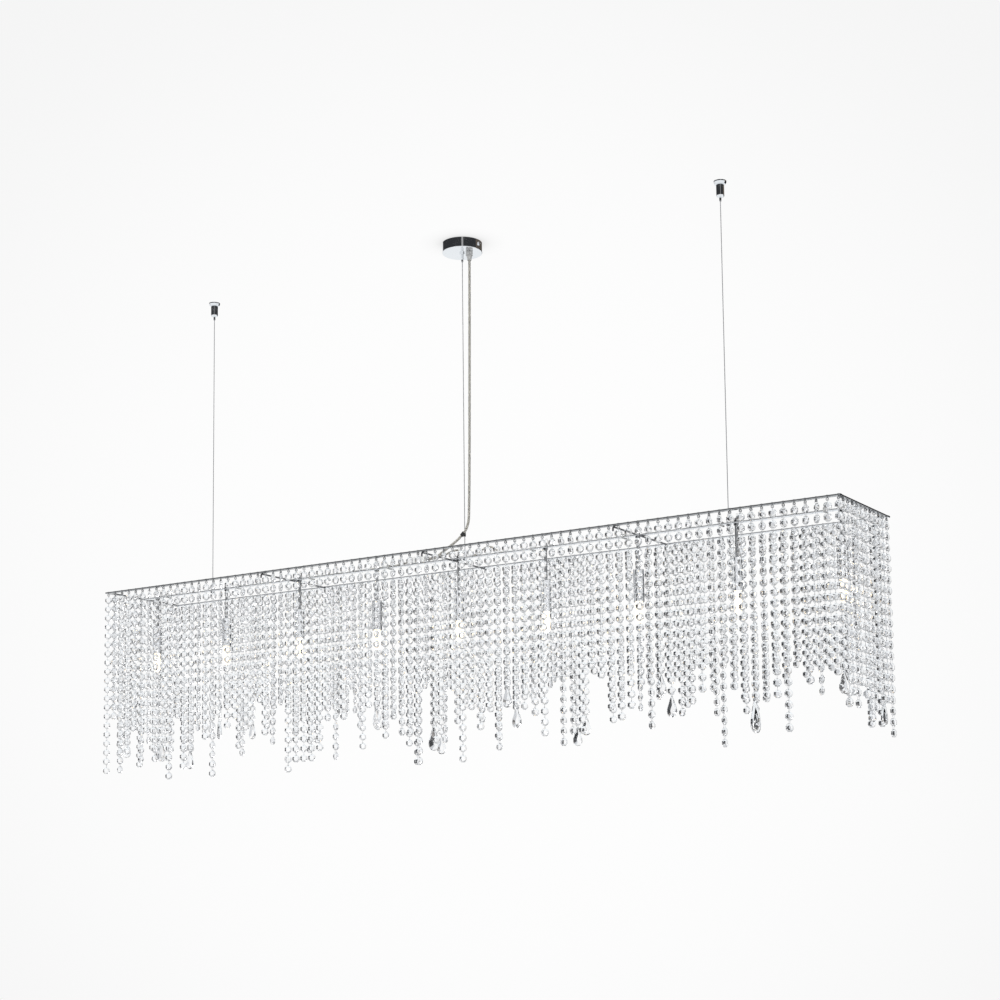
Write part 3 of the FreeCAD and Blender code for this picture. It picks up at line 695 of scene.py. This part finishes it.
def pear_drop(length):
    """A pear-shaped drop with a bevelled flat face on both sides: (across, through, up) from its top."""
    outline = [(0.8, 0.0), (2.9, -6.0), (5.8, -14.0), (8.2, -21.5), (9.0, -27.5), (7.8, -33.0),
               (4.6, -36.8), (0.0, -38.0)]
    outline_length = 0.038
    belly = -26.0
    ring = outline + [(-u, v) for u, v in reversed(outline[:-1])]
    levels = ((0.38, -3.6), (1.0, -0.9), (1.0, 2.2), (0.86, 4.0))   # shares of the outline, and depths
    places = []
    for share, depth in levels:
        places += [(u * share, depth, belly + (v - belly) * share) for u, v in ring]
    return numpy.array(places) * (length / outline_length) / 1000, tube_faces(len(levels), len(ring))


class Row:
    """Many copies of small shapes, gathered into one mesh."""

    def __init__(self):
        self.places = []
        self.faces = []
        self.count = 0

    def add(self, shape, x, y, z, turn, nod=0.0):
        """One more copy, turned about the upright and then nodded about its own width."""
        local, faces = shape
        across = numpy.array((math.cos(turn), math.sin(turn), 0.0))
        level = numpy.array((-math.sin(turn), math.cos(turn), 0.0))
        plumb = numpy.array((0.0, 0.0, 1.0))
        through = level * math.cos(nod) + plumb * math.sin(nod)
        upward = plumb * math.cos(nod) - level * math.sin(nod)
        self.places.append(local @ numpy.array((across, through, upward)) + numpy.array((x, y, z)))
        self.faces += [tuple(self.count + k for k in face) for face in faces]
        self.count += len(local)

    def mesh(self, name, smooth):
        return add_mesh(name, numpy.concatenate(self.places).tolist(), self.faces, smooth)


def hangers(node, axis, start):
    """Where each string or drop of a CAD node hangs, by hook: its middle, turn, top and bottom.

    A wide drop's two edges lie nearer to the next hooks, so groups too short to hang are left out.
    """
    shortest = 0.02
    mesh = cad[node].data
    places = numpy.empty(len(mesh.vertices) * 3)
    mesh.vertices.foreach_get("co", places)
    places = places.reshape(-1, 3)
    hooks = numpy.rint((places[:, axis] - start) / hook_pitch).astype(int)
    made = {}
    for hook in numpy.unique(hooks):
        own = places[hooks == hook]
        top = own[:, 2].max()
        bottom = own[:, 2].min()
        if top - bottom < shortest:
            continue
        middle = (own.max(axis=0) + own.min(axis=0)) / 2
        flat = own[:, :2] - middle[:2]
        width = numpy.linalg.eigh(flat.T @ flat)[1][:, 1]
        made[int(hook)] = (middle[0], middle[1], math.atan2(width[1], width[0]), top, bottom)
    return made


finish = new_finish("cut_crystal")
# Painted glints: the crystal's colour drifts in small patches from faint blue to faint amber, standing in
# for light split by the facets.
painted_glint_stops = [(0.0, (0.86, 0.92, 1.0)), (0.36, (0.945, 0.965, 0.985)), (0.5, (0.965, 0.97, 0.975)),
              (0.64, (0.98, 0.965, 0.95)), (1.0, (1.0, 0.94, 0.85))]
painted_glints = finish.add("ValToRGB", {"stops": painted_glint_stops}, {"Fac": finish.cloud(0.0021, 1.0)})
cut_crystal = finish.end(finish.body(
    Base_Color=painted_glints,
    Roughness=0.0,
    Transmission_Weight=1.0,
    IOR=1.58,
))

bead = octagon_crystal()
link = wire_link(link_half_width, bead_pitch / 2 - hole_reach, link_wire)
round_ring = wire_link(ring_radius, ring_radius, ring_wire, around=16, sides=6)
# Each row's axis and the place of its first hook on it.
row_lines = {"front": (0, -0.855), "back": (0, -0.855), "left": (1, -0.11), "right": (1, -0.11)}
chance = random.Random(5)
for row, (axis, start) in row_lines.items():
    crystals = Row()
    links = Row()
    drops = Row()
    drop_places = hangers("drops_" + row, axis, start)
    for hook, (x, y, turn, top, bottom) in hangers("strands_" + row, axis, start).items():
        count = round((top - bottom - 2 * bead_half) / bead_pitch) + 1
        first = top - bead_half
        links.add(round_ring, x, y, first + hole_reach + ring_radius, turn)
        for i in range(count):
            height = first - bead_pitch * i
            own_turn = math.radians(chance.uniform(-loose_turn, loose_turn))
            own_nod = math.radians(chance.uniform(-loose_nod, loose_nod))
            crystals.add(bead, x, y, height, turn + own_turn, own_nod)
            if i < count - 1:
                links.add(link, x, y, height - bead_pitch / 2, turn)
        if hook in drop_places:
            drop_x, drop_y, drop_turn, drop_top, drop_bottom = drop_places[hook]
            drops.add(pear_drop(drop_top - drop_bottom), drop_x, drop_y, drop_top, drop_turn)
            links.add(round_ring, x, y, first - bead_pitch * (count - 1) - hole_reach - ring_radius, turn)
    body = "curtain_" + row
    crystal_piece = crystals.mesh("crystals_" + row, False)
    link_piece = links.mesh("wire_links_" + row, True)
    drop_piece = drops.mesh("pear_drops_" + row, False)
    for piece, node, material, slot in (
            (crystal_piece, "strands_" + row, cut_crystal, "crystal"),
            (link_piece, "strand_rings_" + row, chrome_plate, "chrome"),
            (drop_piece, "drops_" + row, cut_crystal, "crystal")):
        coat(material, piece)
        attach(piece, body)
        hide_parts(node)


# Studio
# A white room: a pale floor far below, a pale ceiling patch over the fittings, and a soft white
# backdrop. Its sides are darker and the right one is black, so that chrome and cut crystal have
# something dark to show.
world = bpy.data.worlds.new("studio")
bpy.context.scene.world = world
studio = Finish(world)
ray = studio.add("TexCoord", {}, {}, "Generated")
ray_height = studio.add("SeparateXYZ", {}, {"Vector": ray}, 2)
lens_turn = 32.7                # degrees that the lens looks to the left of straight back


def lobe(direction, inner, outer):
    """1 towards a direction and 0 away from it, with its edges at two angles in degrees."""
    axis = tuple(Vector(direction).normalized())
    near = studio.add("VectorMath", {"operation": "DOT_PRODUCT"}, {0: ray, 1: axis}, "Value")
    edge = math.cos(math.radians(outer))
    full = math.cos(math.radians(inner))
    return studio.add("MapRange", {"interpolation_type": "SMOOTHSTEP"},
                      {"Value": near, "From Min": edge, "From Max": full})


def bearing(turn, rise):
    """A direction by its angle to the right of the lens, and above the horizon, in degrees."""
    level = math.radians(turn - lens_turn)
    steep = math.radians(rise)
    return math.sin(level) * math.cos(steep), math.cos(level) * math.cos(steep), math.sin(steep)


def belt(low, high, fade=0.02):
    """1 between two heights of the room, as sines of their angles above the horizon."""
    rising = studio.add("MapRange", {},
                        {"Value": ray_height, "From Min": low - fade, "From Max": low + fade})
    falling = studio.add("MapRange", {},
                         {"Value": ray_height, "From Min": high + fade, "From Max": high - fade})
    return rising * falling


rim_stops = [(0.0, (0.80, 0.80, 0.81)), (0.25, (0.88, 0.84, 0.79)), (0.5, (0.88, 0.905, 0.94)),
             (1.0, (0.96, 0.965, 0.97))]
backdrop = bearing(-4, 6)
rim = studio.add("ValToRGB", {"stops": rim_stops}, {"Fac": lobe(backdrop, 14, 30)})
boards = belt(0.13, 0.26)
beside = lobe(bearing(-52, 11), 8, 12) + lobe(bearing(54, 11), 10, 14)
behind = lobe(bearing(-114, 11), 15, 20)
ahead = lobe(bearing(4, 0), 84, 90)
right_wall = lobe(bearing(104.5, 0), 87.5, 90)
right_edge = lobe(bearing(103, 0), 88, 91)
overhead = (0.0, -0.2, 1.0)
below = (0.0, 0.0, -1.0)
patches = (
    (boards * beside, (0.04, 0.042, 0.045)),                                        # dark boards beside
    (boards * behind, (0.05, 0.052, 0.056)),                                        # and behind
    (lobe(bearing(-101, 42), 14, 20), (0.22, 0.22, 0.23)),                          # grey panel, high up
    (belt(0.28, 0.42) * (1 - lobe(bearing(0, 6), 32, 40)), (0.035, 0.037, 0.04)),   # dark band all round
    (lobe(bearing(178, 20), 3, 6), (0.4, 0.4, 0.4)),                                # grey spot behind
    (lobe(backdrop, 28, 30), rim),                                                  # backdrop, tinted rim
    (right_edge * ahead * belt(-0.40, 0.40, 0.06), (0.50, 0.41, 0.32)),             # warm edge, and
    (right_wall * ahead * belt(-0.38, 0.38, 0.06), (0.012, 0.014, 0.018)),          # black wall, right
    (lobe(backdrop, 5, 15), (1.0, 1.0, 1.0)),                                       # backdrop, middle
    (lobe(bearing(30, 6), 20, 26) * (1 - right_wall), (0.60, 0.615, 0.64)),         # grey strip beside it
    (lobe(overhead, 20, 42), (1.0, 1.0, 1.0)),
    (lobe(below, 25, 50), (0.8, 0.8, 0.8)),
)
room = studio.blend(lobe(bearing(0, 6), 56, 70), (0.93, 0.935, 0.95), (0.58, 0.59, 0.60))
room = studio.blend(lobe(bearing(-60, 3), 28, 38), room, (0.80, 0.81, 0.83))
for mask, colour in patches:
    room = studio.blend(mask, room, colour)

# The lens itself sees plain white with greyer corners, and matt surfaces are lit evenly.
seen_white = studio.blend(lobe(bearing(0, 9), 2, 23), (0.915, 0.915, 0.915), (0.985, 0.985, 0.985))
camera_ray = studio.add("LightPath", {}, {}, "Is Camera Ray")
diffuse_ray = studio.add("LightPath", {}, {}, "Is Diffuse Ray")
lit = studio.blend(diffuse_ray, room, (0.72, 0.73, 0.75))
shown = studio.blend(camera_ray, lit, seen_white)
studio.end(studio.add("Background", {}, {"Color": shown}), "OutputWorld")


def disc(name, radius, height, order=1):
    """A level disc. It faces up, or down with its points in the other order."""
    angles = [math.radians(step) for step in range(0, 360, 10)]
    places = [Vector((math.cos(angle) * radius, math.sin(angle) * radius, height)) for angle in angles]
    return add_mesh(name, places, [tuple(range(len(places)))[::order]], False)


# The floor is matt, but chrome and crystal see it lit.
floor = disc("floor", 9, -2.6)
finish = new_finish("pale_floor")
tone = finish.cloud(0.6, 2)
in_chrome = finish.add("LightPath", {}, {}, "Is Glossy Ray")
in_crystal = finish.add("LightPath", {}, {}, "Is Transmission Ray")
seen = finish.add("Math", {"operation": "MAXIMUM"}, {0: in_chrome, 1: in_crystal})
matt = finish.body(Base_Color=finish.blend(tone, (0.80, 0.80, 0.80), (0.82, 0.82, 0.82)), Roughness=0.9)
glow = finish.add("Emission", {}, {"Color": (0.95, 0.98, 1.0), "Strength": 1.0})
pale_floor = finish.end(finish.add("MixShader", {}, {0: seen, 1: matt, 2: glow}))
coat(pale_floor, floor)

# The ceiling patch shows to the lens alone. Its emitted white carries a painted contact shadow, softly
# darker where the cup meets it.
ceiling = disc("ceiling_patch", 0.2, 0.0006, order=-1)
finish = new_finish("pale_ceiling")
reach = finish.add("VectorMath", {"operation": "LENGTH"}, {0: finish.place()}, "Value")
kept = finish.add("MapRange", {"interpolation_type": "SMOOTHSTEP"}, {
    "Value": reach, "From Min": 0.09, "From Max": 0.19, "To Min": 1.0, "To Max": 0.0})
from_below = 1 - finish.add("NewGeometry", {}, {}, "Backfacing")
# Painted shadow: ambient occlusion darkens the emitted white near the cup.
painted_shadow_mask = finish.add("AmbientOcclusion", {"samples": 8}, {"Distance": 0.05}, "AO")
tone = finish.blend(painted_shadow_mask, (0.58, 0.58, 0.58), (0.975, 0.975, 0.975))
white_with_painted_shadow = finish.add("Emission", {}, {"Color": tone, "Strength": 1.0})
clear = finish.add("BsdfTransparent", {}, {})
only_lens = finish.add("LightPath", {}, {}, "Is Camera Ray")
covered = kept * from_below * only_lens
pale_ceiling = finish.end(finish.add("MixShader", {}, {0: covered, 1: clear, 2: white_with_painted_shadow}))
coat(pale_ceiling, ceiling)
ceiling.visible_shadow = False


def soft_lamp(name, place, target, size, power):
    """A large square lamp with a diffuser, aimed at a point."""
    lamp = bpy.data.lights.new(name, "AREA")
    lamp.size = size
    lamp.energy = power
    holder = bpy.data.objects.new(name, lamp)
    holder.location = place
    holder.rotation_euler = (Vector(target) - Vector(place)).to_track_quat("-Z", "Y").to_euler()
    holder.visible_glossy = False
    bpy.context.scene.collection.objects.link(holder)


soft_lamp("key_lamp", (-2.5, -3.0, 1.2), (0, 0, -0.7), size=2.0, power=70.0)
soft_lamp("fill_lamp", (3.0, -2.0, -0.2), (0, 0, -0.8), size=2.0, power=25.0)

# Camera
# Low in front of the right end, looking a little up, as in the photograph. The picture is shifted
# up, so that upright lines stay nearly upright.
camera = bpy.data.cameras.new("camera")
camera.sensor_width = 36.0
camera.lens = 65.675
camera.shift_y = 0.19
camera.clip_end = 100.0
viewer = bpy.data.objects.new("camera", camera)
viewer.location = (1.9624, -2.9377, -1.2947)
forward = Vector((-0.53653, 0.83655, 0.11100))
roll = math.radians(-0.637)
level = forward.cross(Vector((0, 0, 1))).normalized()
steep = level.cross(forward)
right = level * math.cos(roll) + steep * math.sin(roll)
over = steep * math.cos(roll) - level * math.sin(roll)
viewer.rotation_mode = "QUATERNION"
viewer.rotation_quaternion = Matrix((right, over, -forward)).transposed().to_quaternion()
bpy.context.scene.collection.objects.link(viewer)
bpy.context.scene.camera = viewer
bpy.context.scene.view_settings.view_transform = "Standard"
